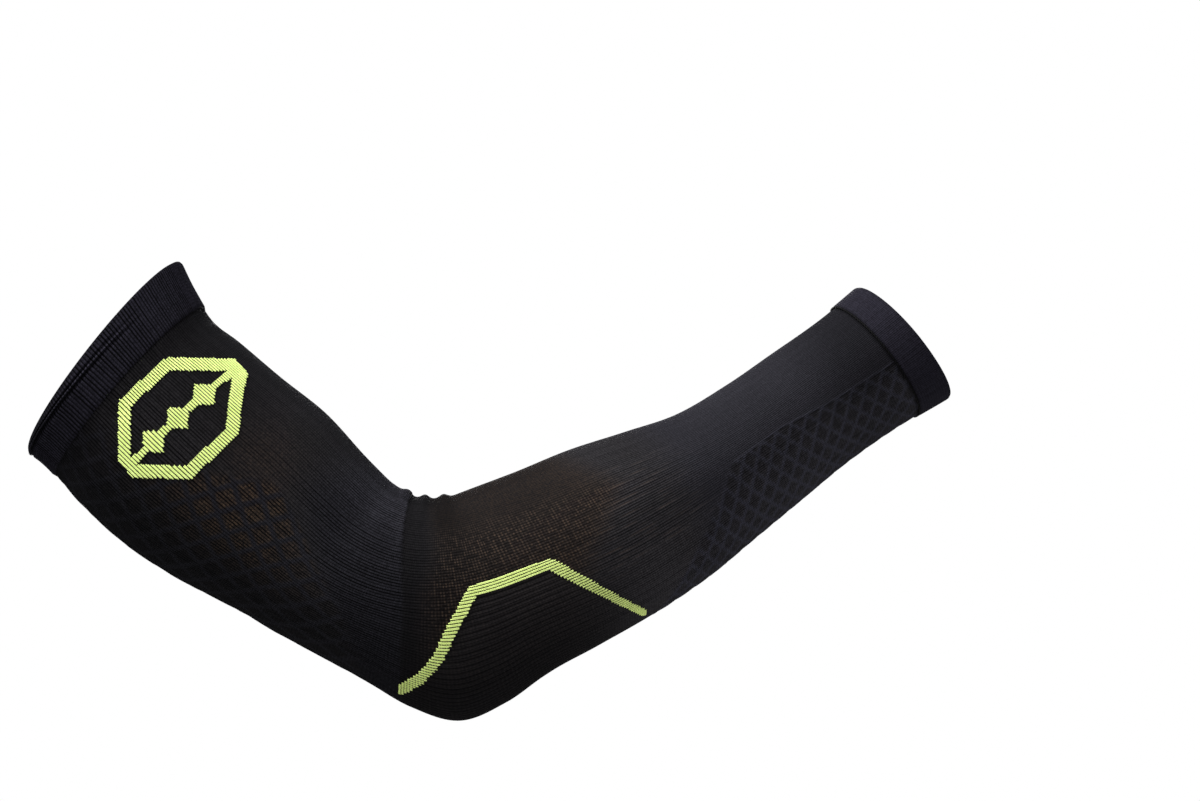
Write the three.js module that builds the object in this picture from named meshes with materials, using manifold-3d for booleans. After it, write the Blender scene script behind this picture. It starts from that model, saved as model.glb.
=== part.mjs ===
// Arm compression sleeve, knitted in one tube and kept in the form it takes on a bent right arm.
// Millimetres, +Z up. The origin lies on the centreline of the sleeve, at the lowest point of the bend.
// +X runs along the centreline there, from the upper arm towards the wrist, and -Y is the outer side.
// Pieces: upper cuff, sleeve body, wrist cuff, elbow stripe and emblem.

import * as THREE from "three";
import { mergeVertices } from "three/addons/utils/BufferGeometryUtils.js";
import Module from "manifold-3d";

// The centreline: a straight upper arm, a round bend at the elbow and a forearm that bows gently.
const upperLength = 135;
const forearmLength = 228;
const bendRadius = 82;
const upperSlope = 43.6; // degrees that the upper arm rises, away from the elbow
const forearmSlope = 24.5; // degrees that the forearm rises where it leaves the bend
const forearmBow = 12.5; // degrees that the forearm turns up further on its way to the wrist
const forearmYaw = 16; // degrees that the forearm turns away from the outer side
const upperYaw = 5; // degrees that the upper arm turns away from the outer side
const yawEnd = 60; // length of arm past the bend over which each turns away

// Outer heights and depths of the sleeve, square to the centreline.
const upperArmHeight = 109.5;
const upperArmDepth = 102;
const elbowHeight = 106.5;
const elbowDepth = 92;
const forearmHeight = 96.5;
const forearmDepth = 86;
const wristHeight = 67;
const wristDepth = 57;

// Walls and bands.
const wall = 1.2; // one layer of knit
const cuffWall = 2.2; // two layers of knit
const upperCuffWidth = 20.5;
const wristCuffWidth = 16.5;
const seamGap = 0.3; // between a cuff and the body
const upperRimTilt = -5.4; // degrees that the top of the upper rim leans towards the wrist
const wristRimTilt = -3; // the same at the wrist rim; below nothing it leans away from the wrist
const cuffFoldDepth = 1.3; // the welt's fold, which runs round the upper cuff
const rimRound = 0.6; // how far each edge of a cuff rounds in

// The lime yarn: a bent stripe at the elbow and an emblem below the upper cuff.
const yarnThickness = 0.6;
const yarnGap = 0.3; // between the yarn and the knit under it
const stripeWidth = 5;
const emblemFromRim = 52; // from the upper rim to the middle of the emblem
const emblemRise = 8; // from the centreline up to the middle of the emblem
const emblemLength = 69; // across the arm
const emblemWidth = 49; // along the arm
const emblemStroke = 5.6;
const emblemCorner = 20; // how much of each side its slanted corners take off
const emblemSpine = 3;
const emblemDiamonds = 3;
const diamondShare = 0.84; // how much of its pitch along the spine a diamond fills

// How finely the surfaces are faceted.
const around = 40;
const upperStations = 9;
const bendStations = 20;
const forearmStations = 19;

// Heights above and below the centreline are shares of the row's own height, and half is a share of
// its depth. Egg is how much wider the section is above the centreline than below it.
const upperArm = { height: upperArmHeight, depth: upperArmDepth };
const elbow = { height: elbowHeight, depth: elbowDepth };
const forearm = { height: forearmHeight, depth: forearmDepth };
const wrist = { height: wristHeight, depth: wristDepth };
const sections = [
  { stretch: "upper", at: 0.0, size: upperArm, above: 0.502, below: 0.527, half: 0.52, egg: 0.0 },
  { stretch: "upper", at: 0.1, size: upperArm, above: 0.452, below: 0.521, half: 0.5, egg: 0.0 },
  { stretch: "upper", at: 0.2, size: upperArm, above: 0.418, below: 0.528, half: 0.49, egg: 0.0 },
  { stretch: "upper", at: 0.3, size: upperArm, above: 0.432, below: 0.538, half: 0.5, egg: 0.0 },
  { stretch: "upper", at: 0.5, size: upperArm, above: 0.448, below: 0.532, half: 0.5, egg: 0.0 },
  { stretch: "upper", at: 0.7, size: upperArm, above: 0.471, below: 0.488, half: 0.48, egg: 0.02 },
  { stretch: "upper", at: 0.9, size: upperArm, above: 0.456, below: 0.417, half: 0.46, egg: 0.03 },
  { stretch: "bend", at: 0.08, size: elbow, above: 0.464, below: 0.374, half: 0.5, egg: 0.05 },
  { stretch: "bend", at: 0.25, size: elbow, above: 0.46, below: 0.358, half: 0.5, egg: 0.08 },
  { stretch: "bend", at: 0.42, size: elbow, above: 0.448, below: 0.39, half: 0.49, egg: 0.1 },
  { stretch: "bend", at: 0.58, size: elbow, above: 0.442, below: 0.476, half: 0.48, egg: 0.12 },
  { stretch: "bend", at: 0.72, size: elbow, above: 0.45, below: 0.538, half: 0.48, egg: 0.12 },
  { stretch: "bend", at: 0.86, size: elbow, above: 0.448, below: 0.495, half: 0.49, egg: 0.08 },
  { stretch: "bend", at: 1.0, size: elbow, above: 0.448, below: 0.44, half: 0.49, egg: 0.05 },
  { stretch: "forearm", at: 0.12, size: forearm, above: 0.472, below: 0.468, half: 0.51, egg: 0.03 },
  { stretch: "forearm", at: 0.25, size: forearm, above: 0.445, below: 0.457, half: 0.5, egg: 0.02 },
  { stretch: "forearm", at: 0.38, size: forearm, above: 0.386, below: 0.434, half: 0.47, egg: 0.0 },
  { stretch: "forearm", at: 0.5, size: wrist, above: 0.472, below: 0.568, half: 0.62, egg: 0.0 },
  { stretch: "forearm", at: 0.63, size: wrist, above: 0.455, below: 0.518, half: 0.55, egg: 0.0 },
  { stretch: "forearm", at: 0.75, size: wrist, above: 0.458, below: 0.484, half: 0.51, egg: 0.0 },
  { stretch: "forearm", at: 0.88, size: wrist, above: 0.452, below: 0.494, half: 0.5, egg: 0.0 },
  { stretch: "forearm", at: 1.0, size: wrist, above: 0.465, below: 0.55, half: 0.51, egg: 0.0 },
];

// Wrinkles in the crook of the elbow: rise and width are shares of the elbow's height.
const wrinkles = [
  { at: 0.34, rise: 0.016, width: 0.055 },
  { at: 0.56, rise: 0.022, width: 0.06 },
  { at: 0.78, rise: 0.014, width: 0.055 },
];

// Across a cuff from its free rim to the body: lift is a share of the fold's depth, and edge a share
// of the rounding of the rim.
const upperCuffProfile = [
  { at: 0.0, lift: 0.0, edge: 1.0 },
  { at: 0.05, lift: 0.0, edge: 0.0 },
  { at: 0.28, lift: 0.1, edge: 0.0 },
  { at: 0.36, lift: -0.5, edge: 0.0 },
  { at: 0.43, lift: 0.75, edge: 0.0 },
  { at: 0.5, lift: -0.7, edge: 0.0 },
  { at: 0.55, lift: 0.15, edge: 0.0 },
  { at: 0.65, lift: 0.0, edge: 0.0 },
  { at: 0.94, lift: 0.0, edge: 0.0 },
  { at: 1.0, lift: 0.0, edge: 1.0 },
];
const wristCuffProfile = [
  { at: 0.0, lift: 0.0, edge: 1.0 },
  { at: 0.06, lift: 0.0, edge: 0.0 },
  { at: 0.5, lift: 0.0, edge: 0.0 },
  { at: 0.94, lift: 0.0, edge: 0.0 },
  { at: 1.0, lift: 0.0, edge: 1.0 },
];

// The middle of the elbow stripe: height is a share of the elbow's height, up from the centreline.
const stripePath = [
  { stretch: "bend", at: 0.55, height: -0.385 },
  { stretch: "bend", at: 0.61, height: -0.328 },
  { stretch: "bend", at: 0.67, height: -0.245 },
  { stretch: "bend", at: 0.73, height: -0.125 },
  { stretch: "bend", at: 0.86, height: 0.03 },
  { stretch: "forearm", at: 0.11, height: 0.002 },
  { stretch: "forearm", at: 0.235, height: -0.38 },
];

const radians = THREE.MathUtils.degToRad;
const bendBack = bendRadius * radians(upperSlope);
const bendFore = bendRadius * radians(forearmSlope);
const rimStart = -bendBack - upperLength;
const rimEnd = bendFore + forearmLength;
const stretches = {
  upper: { start: rimStart, length: upperLength },
  bend: { start: -bendBack, length: bendBack + bendFore },
  forearm: { start: bendFore, length: forearmLength },
};

// Distance along the centreline of a row in a table.
function station(row) {
  const stretch = stretches[row.stretch];
  return stretch.start + row.at * stretch.length;
}

// The unit vectors of the centreline at a distance along it: forward, up and away from the outer side.
function frameAt(along) {
  let rise = -radians(upperSlope);
  if (along > -bendBack) rise = along / bendRadius;
  if (along > bendFore) {
    rise = radians(forearmSlope) + (radians(forearmBow) * (along - bendFore)) / forearmLength;
  }
  const turn =
    radians(forearmYaw) * THREE.MathUtils.smoothstep(along, 0, bendFore + yawEnd) -
    radians(upperYaw) * THREE.MathUtils.smoothstep(-along, 0, bendBack + yawEnd);
  const forward = new THREE.Vector3(
    Math.cos(rise) * Math.cos(turn),
    Math.cos(rise) * Math.sin(turn),
    Math.sin(rise),
  );
  const away = new THREE.Vector3(-Math.sin(turn), Math.cos(turn), 0);
  const up = new THREE.Vector3().crossVectors(forward, away).normalize();
  return { forward, up, away };
}

// The centreline is added up from the origin in steps of a millimetre, both ways.
const step = 1;
const spareSteps = 3; // past each rim
const centreline = new Map([[0, new THREE.Vector3()]]);
for (const direction of [-1, 1]) {
  const reach = direction < 0 ? -rimStart : rimEnd;
  for (let i = 1; i <= Math.ceil(reach / step) + spareSteps; i += 1) {
    const last = centreline.get(direction * (i - 1));
    const middle = frameAt(direction * (i - 0.5) * step).forward;
    centreline.set(direction * i, last.clone().addScaledVector(middle, direction * step));
  }
}
function pointAt(along) {
  const low = Math.floor(along / step);
  const share = along / step - low;
  return centreline.get(low).clone().lerp(centreline.get(low + 1), share);
}

// The table's values at a distance along the centreline, on a smooth curve through its rows.
const rows = sections.map((row) => ({
  along: station(row),
  above: row.above * row.size.height,
  below: row.below * row.size.height,
  half: row.half * row.size.depth,
  egg: row.egg,
}));
function slopeOf(name, i) {
  const before = rows[Math.max(i - 1, 0)];
  const after = rows[Math.min(i + 1, rows.length - 1)];
  return (after[name] - before[name]) / (after.along - before.along);
}
function sectionAt(along) {
  const place = THREE.MathUtils.clamp(along, rows[0].along, rows[rows.length - 1].along);
  let i = 0;
  while (i < rows.length - 2 && rows[i + 1].along < place) i += 1;
  const span = rows[i + 1].along - rows[i].along;
  const t = (place - rows[i].along) / span;
  const section = {};
  for (const name of ["above", "below", "half", "egg"]) {
    const start = rows[i][name];
    const end = rows[i + 1][name];
    const rise = slopeOf(name, i) * span;
    const fall = slopeOf(name, i + 1) * span;
    section[name] =
      start * (2 * t ** 3 - 3 * t ** 2 + 1) +
      end * (3 * t ** 2 - 2 * t ** 3) +
      rise * (t ** 3 - 2 * t ** 2 + t) +
      fall * (t ** 3 - t ** 2);
  }
  return section;
}

// How far the wrinkles lift the crook of the elbow: they fade out down the sides of the arm.
const crookPower = 6;
function wrinkleLift(along, turn) {
  const crook = Math.max(0, Math.sin(turn)) ** crookPower;
  let lift = 0;
  for (const row of wrinkles) {
    const centre = station({ stretch: "bend", at: row.at });
    const distance = (along - centre) / (row.width * elbowHeight);
    lift += row.rise * elbowHeight * crook * Math.exp(-(distance ** 2));
  }
  return lift;
}

// A point of the body's outer surface: turn runs from the outer side (0) over the top (a quarter turn).
function skinPoint(along, turn) {
  const { forward, up, away } = frameAt(along);
  const section = sectionAt(along);
  const sine = Math.sin(turn);
  const height = (sine > 0 ? section.above : section.below) * sine;
  const depth = -section.half * Math.cos(turn) * (1 + section.egg * sine);
  const upperLean = 1 - THREE.MathUtils.smoothstep(along, rimStart, rimStart + 2 * upperCuffWidth);
  const wristLean = THREE.MathUtils.smoothstep(along, rimEnd - 2 * wristCuffWidth, rimEnd);
  const lean =
    height *
    (Math.tan(radians(upperRimTilt)) * upperLean + Math.tan(radians(wristRimTilt)) * wristLean);
  return pointAt(along)
    .addScaledVector(up, height + wrinkleLift(along, turn) * sine)
    .addScaledVector(away, depth)
    .addScaledVector(forward, lean);
}

// The same point moved out of the surface by lift, or into it where lift is negative.
function surfacePoint(along, turn, lift) {
  const small = 0.5;
  const angle = 0.01;
  const lower = Math.max(along - small, rimStart);
  const upper = Math.min(along + small, rimEnd);
  const ahead = skinPoint(upper, turn).sub(skinPoint(lower, turn));
  const aside = skinPoint(along, turn + angle).sub(skinPoint(along, turn - angle));
  const normal = new THREE.Vector3().crossVectors(ahead, aside).normalize();
  return skinPoint(along, turn).addScaledVector(normal, lift);
}

// A closed wall round the arm: its profile is a loop of rows, each a function from the turn to a
// distance along the arm and a lift off the skin.
function ringMesh(profile) {
  const positions = [];
  for (const row of profile) {
    for (let i = 0; i < around; i += 1) {
      const turn = (2 * Math.PI * i) / around;
      const { along, lift } = row(turn);
      positions.push(...surfacePoint(along, turn, lift).toArray());
    }
  }
  const index = [];
  for (let j = 0; j < profile.length; j += 1) {
    const next = (j + 1) % profile.length;
    for (let i = 0; i < around; i += 1) {
      const a = j * around + i;
      const b = j * around + ((i + 1) % around);
      const c = next * around + i;
      const d = next * around + ((i + 1) % around);
      index.push(a, c, b, c, d, b);
    }
  }
  const geometry = new THREE.BufferGeometry();
  geometry.setAttribute("position", new THREE.Float32BufferAttribute(positions, 3));
  geometry.setIndex(index);
  return geometry;
}

// Distances along the centreline where the body has a row of facets, from one seam to the other.
const bodyStart = rimStart + upperCuffWidth + seamGap;
const bodyEnd = rimEnd - wristCuffWidth - seamGap;
function spread(start, end, count) {
  return Array.from({ length: count }, (_, i) => start + ((end - start) * i) / count);
}
const bendRows = spread(-bendBack, bendFore, bendStations);
const outerRows = [
  ...spread(bodyStart, -bendBack, upperStations),
  ...bendRows,
  ...spread(bendFore, bodyEnd, forearmStations),
  bodyEnd,
];
const innerRows = [
  ...spread(bodyStart, -bendBack, Math.ceil(upperStations / 2)),
  ...bendRows,
  ...spread(bendFore, bodyEnd, Math.ceil(forearmStations / 2)),
  bodyEnd,
];

function bodyGeometry() {
  const outer = outerRows.map((along) => () => ({ along, lift: 0 }));
  const inner = innerRows.map((along) => () => ({ along, lift: -wall }));
  return ringMesh([...outer, ...inner.reverse()]);
}

// The welt's fold lies near the rim under the arm, runs away from it over the outer side and fades out.
function foldShare(turn) {
  return 0.3 + 0.2 * Math.sin(turn);
}
function foldStrength(turn) {
  return THREE.MathUtils.smoothstep(-Math.sin(turn), -0.75, 0.35);
}
function upperCuffGeometry() {
  const outer = upperCuffProfile.map((row) => (turn) => {
    const fold = foldShare(turn);
    const at = row.at < 0.5 ? row.at * 2 * fold : fold + (row.at - 0.5) * 2 * (1 - fold);
    const lift = row.lift * cuffFoldDepth * foldStrength(turn) - row.edge * rimRound;
    return { along: rimStart + at * upperCuffWidth, lift: cuffWall - wall + lift };
  });
  const inner = [0, 0.5, 1].map((at) => () => ({ along: rimStart + at * upperCuffWidth, lift: -wall }));
  return ringMesh([...outer, ...inner.reverse()]);
}
function wristCuffGeometry() {
  const outer = wristCuffProfile.map((row) => () => ({
    along: rimEnd - row.at * wristCuffWidth,
    lift: cuffWall - wall - row.edge * rimRound,
  }));
  const inner = [0, 0.5, 1].map((at) => () => ({ along: rimEnd - at * wristCuffWidth, lift: -wall }));
  return ringMesh([...outer.reverse(), ...inner]);
}

// Solids for cutting.
const manifold = await Module();
manifold.setup();
function toSolid(geometry) {
  return new manifold.Manifold(
    new manifold.Mesh({
      numProp: 3,
      vertProperties: geometry.attributes.position.array,
      triVerts: new Uint32Array(geometry.index.array),
    }),
  );
}
function toGeometry(solid) {
  const mesh = solid.getMesh();
  const geometry = new THREE.BufferGeometry();
  geometry.setAttribute("position", new THREE.BufferAttribute(mesh.vertProperties.slice(), 3));
  geometry.setIndex(new THREE.BufferAttribute(mesh.triVerts.slice(), 1));
  return geometry;
}

// A layer of yarn over the body between two rows of facets, which it shares with the body.
function yarnLayer(start, end) {
  const rowsHere = outerRows.filter((along) => along > start && along < end);
  const top = rowsHere.map((along) => () => ({ along, lift: yarnGap + yarnThickness }));
  const bottom = rowsHere.map((along) => () => ({ along, lift: yarnGap }));
  return toSolid(ringMesh([...top, ...bottom.reverse()]));
}

// A flat outline, given in a frame whose x and y lie along two unit vectors, driven through the outer
// side of the sleeve up to the centreline.
function driveThrough(shape, origin, xAxis, yAxis) {
  const depth = Math.max(upperArmDepth, elbowDepth);
  const geometry = new THREE.ExtrudeGeometry(shape, { depth, bevelEnabled: false });
  const zAxis = new THREE.Vector3().crossVectors(xAxis, yAxis);
  geometry.applyMatrix4(new THREE.Matrix4().makeBasis(xAxis, yAxis, zAxis).setPosition(origin));
  geometry.deleteAttribute("normal");
  geometry.deleteAttribute("uv");
  return toSolid(mergeVertices(geometry, 1e-4));
}

// The stripe's two edges, half its width to each side of the path, with mitred corners.
function stripeShape() {
  const middle = stripePath.map((row) => {
    const along = station(row);
    const { up } = frameAt(along);
    const point = pointAt(along).addScaledVector(up, row.height * elbowHeight);
    return new THREE.Vector2(point.x, point.z);
  });
  const left = [];
  const right = [];
  middle.forEach((point, i) => {
    const before = middle[Math.max(i - 1, 0)];
    const after = middle[Math.min(i + 1, middle.length - 1)];
    const into = point.clone().sub(before).normalize();
    const out = after.clone().sub(point).normalize();
    const way = into.clone().add(out).normalize();
    const normal = new THREE.Vector2(-way.y, way.x);
    const bend = Math.max(way.dot(out), way.dot(into));
    const reach = stripeWidth / 2 / bend;
    left.push(point.clone().addScaledVector(normal, reach));
    right.push(point.clone().addScaledVector(normal, -reach));
  });
  return new THREE.Shape([...left, ...right.reverse()]);
}
function stripeGeometry() {
  const start = station(stripePath[0]) - elbowHeight / 3;
  const end = station(stripePath[stripePath.length - 1]) + elbowHeight / 3;
  const outward = new THREE.Vector3(1, 0, 0);
  const upward = new THREE.Vector3(0, 0, 1);
  const outline = driveThrough(stripeShape(), new THREE.Vector3(), outward, upward);
  return toGeometry(yarnLayer(start, end).intersect(outline));
}

// The emblem: an eight-sided ring, and a spine down its middle that carries a row of diamonds.
// In its own frame x runs along the arm and y across it.
function octagon(width, length, corner) {
  const flat = width / 2 - corner;
  const shoulder = length / 2 - corner;
  return [
    new THREE.Vector2(flat, length / 2),
    new THREE.Vector2(-flat, length / 2),
    new THREE.Vector2(-width / 2, shoulder),
    new THREE.Vector2(-width / 2, -shoulder),
    new THREE.Vector2(-flat, -length / 2),
    new THREE.Vector2(flat, -length / 2),
    new THREE.Vector2(width / 2, -shoulder),
    new THREE.Vector2(width / 2, shoulder),
  ];
}
function emblemGeometry() {
  const centre = rimStart + emblemFromRim;
  const { forward, up } = frameAt(centre);
  const origin = pointAt(centre).addScaledVector(up, emblemRise);
  const lean = -radians(upperRimTilt) / 2;
  const xAxis = forward.clone().multiplyScalar(Math.cos(lean)).addScaledVector(up, -Math.sin(lean));
  const yAxis = up.clone().multiplyScalar(Math.cos(lean)).addScaledVector(forward, Math.sin(lean));
  const place = (shape) => driveThrough(shape, origin, xAxis, yAxis);
  const ring = new THREE.Shape(octagon(emblemWidth, emblemLength, emblemCorner));
  const innerWidth = emblemWidth - 2 * emblemStroke;
  const innerLength = emblemLength - 2 * emblemStroke;
  const innerCorner = emblemCorner - (2 - Math.SQRT2) * emblemStroke;
  const inside = octagon(innerWidth, innerLength, innerCorner);
  ring.holes.push(new THREE.Path(inside));
  const spineEnd = emblemLength / 2 - emblemStroke;
  const spine = new THREE.Shape([
    new THREE.Vector2(-emblemSpine / 2, -spineEnd),
    new THREE.Vector2(emblemSpine / 2, -spineEnd),
    new THREE.Vector2(emblemSpine / 2, spineEnd),
    new THREE.Vector2(-emblemSpine / 2, spineEnd),
  ]);
  let outline = place(ring).add(place(spine));
  const pitch = (emblemLength - 4 * emblemStroke) / emblemDiamonds;
  for (let i = 0; i < emblemDiamonds; i += 1) {
    const middle = (i - (emblemDiamonds - 1) / 2) * pitch;
    const reach = (pitch * diamondShare) / 2;
    const diamond = new THREE.Shape([
      new THREE.Vector2(0, middle - reach),
      new THREE.Vector2(reach, middle),
      new THREE.Vector2(0, middle + reach),
      new THREE.Vector2(-reach, middle),
    ]);
    outline = outline.add(place(diamond));
  }
  const layer = yarnLayer(rimStart, centre + emblemWidth);
  return toGeometry(layer.intersect(outline));
}

const blackKnit = new THREE.MeshStandardMaterial({ color: 0x1d1c20, roughness: 0.85, metalness: 0 });
const cuffKnit = new THREE.MeshStandardMaterial({ color: 0x19181d, roughness: 0.8, metalness: 0 });
const smoothKnit = new THREE.MeshStandardMaterial({ color: 0x1c1c20, roughness: 0.75, metalness: 0 });
const limeYarn = new THREE.MeshStandardMaterial({ color: 0xd6ed8c, roughness: 0.7, metalness: 0 });
const pieces = [
  { name: "upper_cuff", geometry: upperCuffGeometry(), material: cuffKnit },
  { name: "sleeve_body", geometry: bodyGeometry(), material: blackKnit },
  { name: "wrist_cuff", geometry: wristCuffGeometry(), material: smoothKnit },
  { name: "elbow_stripe", geometry: stripeGeometry(), material: limeYarn },
  { name: "emblem", geometry: emblemGeometry(), material: limeYarn.clone() },
];

const sleeve = new THREE.Group();
for (const { name, geometry, material } of pieces) {
  const mesh = new THREE.Mesh(geometry, material);
  mesh.name = name;
  geometry.computeVertexNormals();
  sleeve.add(mesh);
}

export default sleeve;
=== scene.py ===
"""Arm compression sleeve: knitted body, doubled cuffs and lime yarn, in metres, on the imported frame."""
import math

import bpy
import numpy as np
from bpy.props import FloatProperty, FloatVectorProperty, IntProperty, PointerProperty
from bpy.types import Operator, Panel, PropertyGroup
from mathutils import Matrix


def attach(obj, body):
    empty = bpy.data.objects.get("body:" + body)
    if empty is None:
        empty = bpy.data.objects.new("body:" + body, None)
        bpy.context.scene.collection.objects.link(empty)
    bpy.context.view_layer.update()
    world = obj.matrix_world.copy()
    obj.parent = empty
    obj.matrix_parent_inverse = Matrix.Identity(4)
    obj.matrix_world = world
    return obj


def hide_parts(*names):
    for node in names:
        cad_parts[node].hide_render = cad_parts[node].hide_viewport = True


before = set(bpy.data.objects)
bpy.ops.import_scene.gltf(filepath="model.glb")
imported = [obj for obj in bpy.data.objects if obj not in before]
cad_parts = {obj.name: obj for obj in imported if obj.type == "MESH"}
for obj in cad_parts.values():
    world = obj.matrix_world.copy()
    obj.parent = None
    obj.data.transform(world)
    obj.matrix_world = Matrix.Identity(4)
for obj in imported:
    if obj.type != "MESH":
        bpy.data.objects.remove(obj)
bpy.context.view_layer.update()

bl_info = {
    "name": "Arm compression sleeve",
    "version": (1, 0, 0),
    "blender": (4, 5, 0),
    "location": "View3D > Sidebar > Sleeve",
    "description": "Builds a knitted arm compression sleeve in the form it takes on a bent arm",
    "category": "Object",
}

BODY = "root"


def length(name, default, description):
    return FloatProperty(name=name, default=default, unit="LENGTH", description=description)


def angle(name, default, description):
    turn = math.radians(default)
    return FloatProperty(name=name, default=turn, subtype="ANGLE", description=description)


def share(name, default, description):
    return FloatProperty(name=name, default=default, subtype="FACTOR", description=description)


def count(name, default, description):
    return IntProperty(name=name, default=default, min=1, description=description)


def colour(name, default, description):
    return FloatVectorProperty(name=name, default=default, size=3, subtype="COLOR", description=description)


def power(name, default, description):
    return FloatProperty(name=name, default=default, unit="POWER", description=description)


def number(name, default, description):
    return FloatProperty(name=name, default=default, description=description)


class SleeveSizes(PropertyGroup):
    """Sizes of the sleeve, as in the part's source."""

    upper_length: length("Upper arm", 0.135, "Centreline from the upper rim to the bend")
    forearm_length: length("Forearm", 0.228, "Centreline from the bend to the wrist rim")
    bend_radius: length("Bend radius", 0.082, "Radius of the centreline at the elbow")
    upper_slope: angle("Upper arm slope", 43.6, "How steeply the upper arm rises")
    forearm_slope: angle("Forearm slope", 24.5, "How steeply the forearm leaves the bend")
    forearm_bow: angle("Forearm bow", 12.5, "How much further the forearm turns up")
    forearm_yaw: angle("Forearm yaw", 16, "How far the forearm turns from the outer side")
    upper_yaw: angle("Upper arm yaw", 5, "How far the upper arm turns from the outer side")
    yaw_end: length("Yaw end", 0.06, "Length past the bend over which each turns away")
    upper_arm_height: length("Upper arm height", 0.1095, "Height of the upper arm's section")
    upper_arm_depth: length("Upper arm depth", 0.102, "Depth of the upper arm's section")
    elbow_height: length("Elbow height", 0.1065, "Height of the elbow's section")
    elbow_depth: length("Elbow depth", 0.092, "Depth of the elbow's section")
    forearm_height: length("Forearm height", 0.0965, "Height of the forearm's section")
    forearm_depth: length("Forearm depth", 0.086, "Depth of the forearm's section")
    wrist_height: length("Wrist height", 0.067, "Height of the wrist's section")
    wrist_depth: length("Wrist depth", 0.057, "Depth of the wrist's section")
    wall: length("Knit", 0.0012, "Thickness of one layer of knit")
    cuff_wall: length("Cuff", 0.0022, "Thickness of a doubled cuff")
    upper_cuff_width: length("Upper cuff width", 0.0205, "From the upper rim to the body")
    wrist_cuff_width: length("Wrist cuff width", 0.0165, "From the wrist rim to the body")
    upper_rim_tilt: angle("Upper rim tilt", -5.4, "Lean of the upper rim towards the wrist")
    wrist_rim_tilt: angle("Wrist rim tilt", -3, "Lean of the wrist rim towards the hand")
    cuff_fold_depth: length("Fold depth", 0.0013, "How far the welt's fold stands out")
    rim_round: length("Rim rounding", 0.0006, "How far each edge of a cuff rounds in")
    stripe_width: length("Stripe width", 0.005, "Width of the elbow stripe")
    emblem_from_rim: length("Emblem from rim", 0.052, "From the upper rim to the emblem's middle")
    emblem_rise: length("Emblem rise", 0.008, "From the centreline up to the emblem's middle")
    emblem_length: length("Emblem length", 0.069, "Size of the emblem across the arm")
    emblem_width: length("Emblem width", 0.049, "Size of the emblem along the arm")
    emblem_stroke: length("Emblem stroke", 0.0056, "Width of the emblem's ring")
    emblem_corner: length("Emblem corner", 0.02, "How much of each side a slanted corner takes off")
    emblem_spine: length("Emblem spine", 0.003, "Width of the line down the emblem's middle")
    emblem_diamonds: count("Diamonds", 3, "Diamonds along the emblem's spine")
    diamond_share: share("Diamond share", 0.84, "How much of its pitch a diamond fills")


class KnitSettings(PropertyGroup):
    """The knit's gauge and relief."""

    wales: count("Wales", 220, "Columns of stitches round the sleeve")
    samples: count("Points per wale", 3, "Mesh points across a column of stitches")
    course: length("Course", 0.00125, "Length of one row of stitches along the arm")
    jersey_relief: length("Jersey relief", 0.0001, "Height of a wale in plain knit")
    rib_relief: length("Rib relief", 0.0002, "Height of a wale in the ribbed zones")
    elbow_relief: length("Elbow relief", 0.00038, "Height of the wide ribs below the stripe")
    lattice_relief: length("Lattice relief", 0.0003, "Height of the lattice lines")
    mesh_relief: length("Mesh relief", 0.00014, "Height of a stitch in the mesh zone")
    cuff_relief: length("Cuff relief", 0.00045, "Height of the upper cuff's ribs")
    cuff_ribs: count("Cuff ribs", 188, "Ribs round the upper cuff")
    yarn_course: length("Lime course", 0.0009, "Length of one row of lime stitches along the arm")
    yarn_radius: length("Yarn radius", 0.00024, "Radius of the lime yarn")
    stitch_overlap: number("Stitch overlap", 1.4, "Leg length in courses")
    stitch_slant: angle("Stitch slant", 12, "How far each leg of a stitch leans")
    leg_offset: share("Leg offset", 0.16, "From the middle of a stitch to each of its legs, in wales")
    seed: count("Seed", 7, "Seed of the small differences between stitches")


class FinishSettings(PropertyGroup):
    """Colours of the yarns; the deep one is also the colour of painted shade."""

    black: colour("Black yarn", (0.0576, 0.0541, 0.0594), "Plain black knit")
    # The deep colour is what the knit's tone mixes towards: the yarn's darkest black and painted shade, as
    # in the gaps between wales. It is also the seam thread's own colour.
    deep_black_and_shade: colour("Deep knit", (0.0014, 0.0013, 0.0016), "Black knit in the gaps")
    warm: colour("Open knit", (0.182, 0.118, 0.076), "Open knit, which has a warm cast")
    cool: colour("Lattice yarn", (0.0517, 0.0517, 0.0715), "Raised black yarn with a blue cast")
    cuff: colour("Cuff yarn", (0.0222, 0.0206, 0.0304), "Black yarn of the cuffs")
    lime: colour("Lime yarn", (0.82, 0.97, 0.34), "Lime yarn")
    lime_shade: colour("Lime shade", (0.47, 0.62, 0.11), "Lime yarn between the stitches")


class StudioSettings(PropertyGroup):
    """Camera, lights and floor."""

    distance: length("Distance", 2.2, "From the camera to the sleeve")
    frame_width: length("Frame width", 0.564, "Width that the camera sees at the sleeve")
    target_x: length("Target X", 0.07896, "Where the camera points, along the sleeve")
    target_z: length("Target Z", 0.0938, "Where the camera points, above the elbow")
    floor_drop: length("Floor drop", 2.0, "From the elbow down to the floor")
    floor_radius: length("Floor radius", 2.4, "Radius of the floor, whose outer third fades away")
    key_power: power("Key light", 72, "Light from above")
    fill_power: power("Fill light", 15, "Light from the front")
    back_power: power("Back light", 46, "Light from behind")
    ambient: number("Ambient", 0.16, "Strength of the surroundings")


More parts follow.
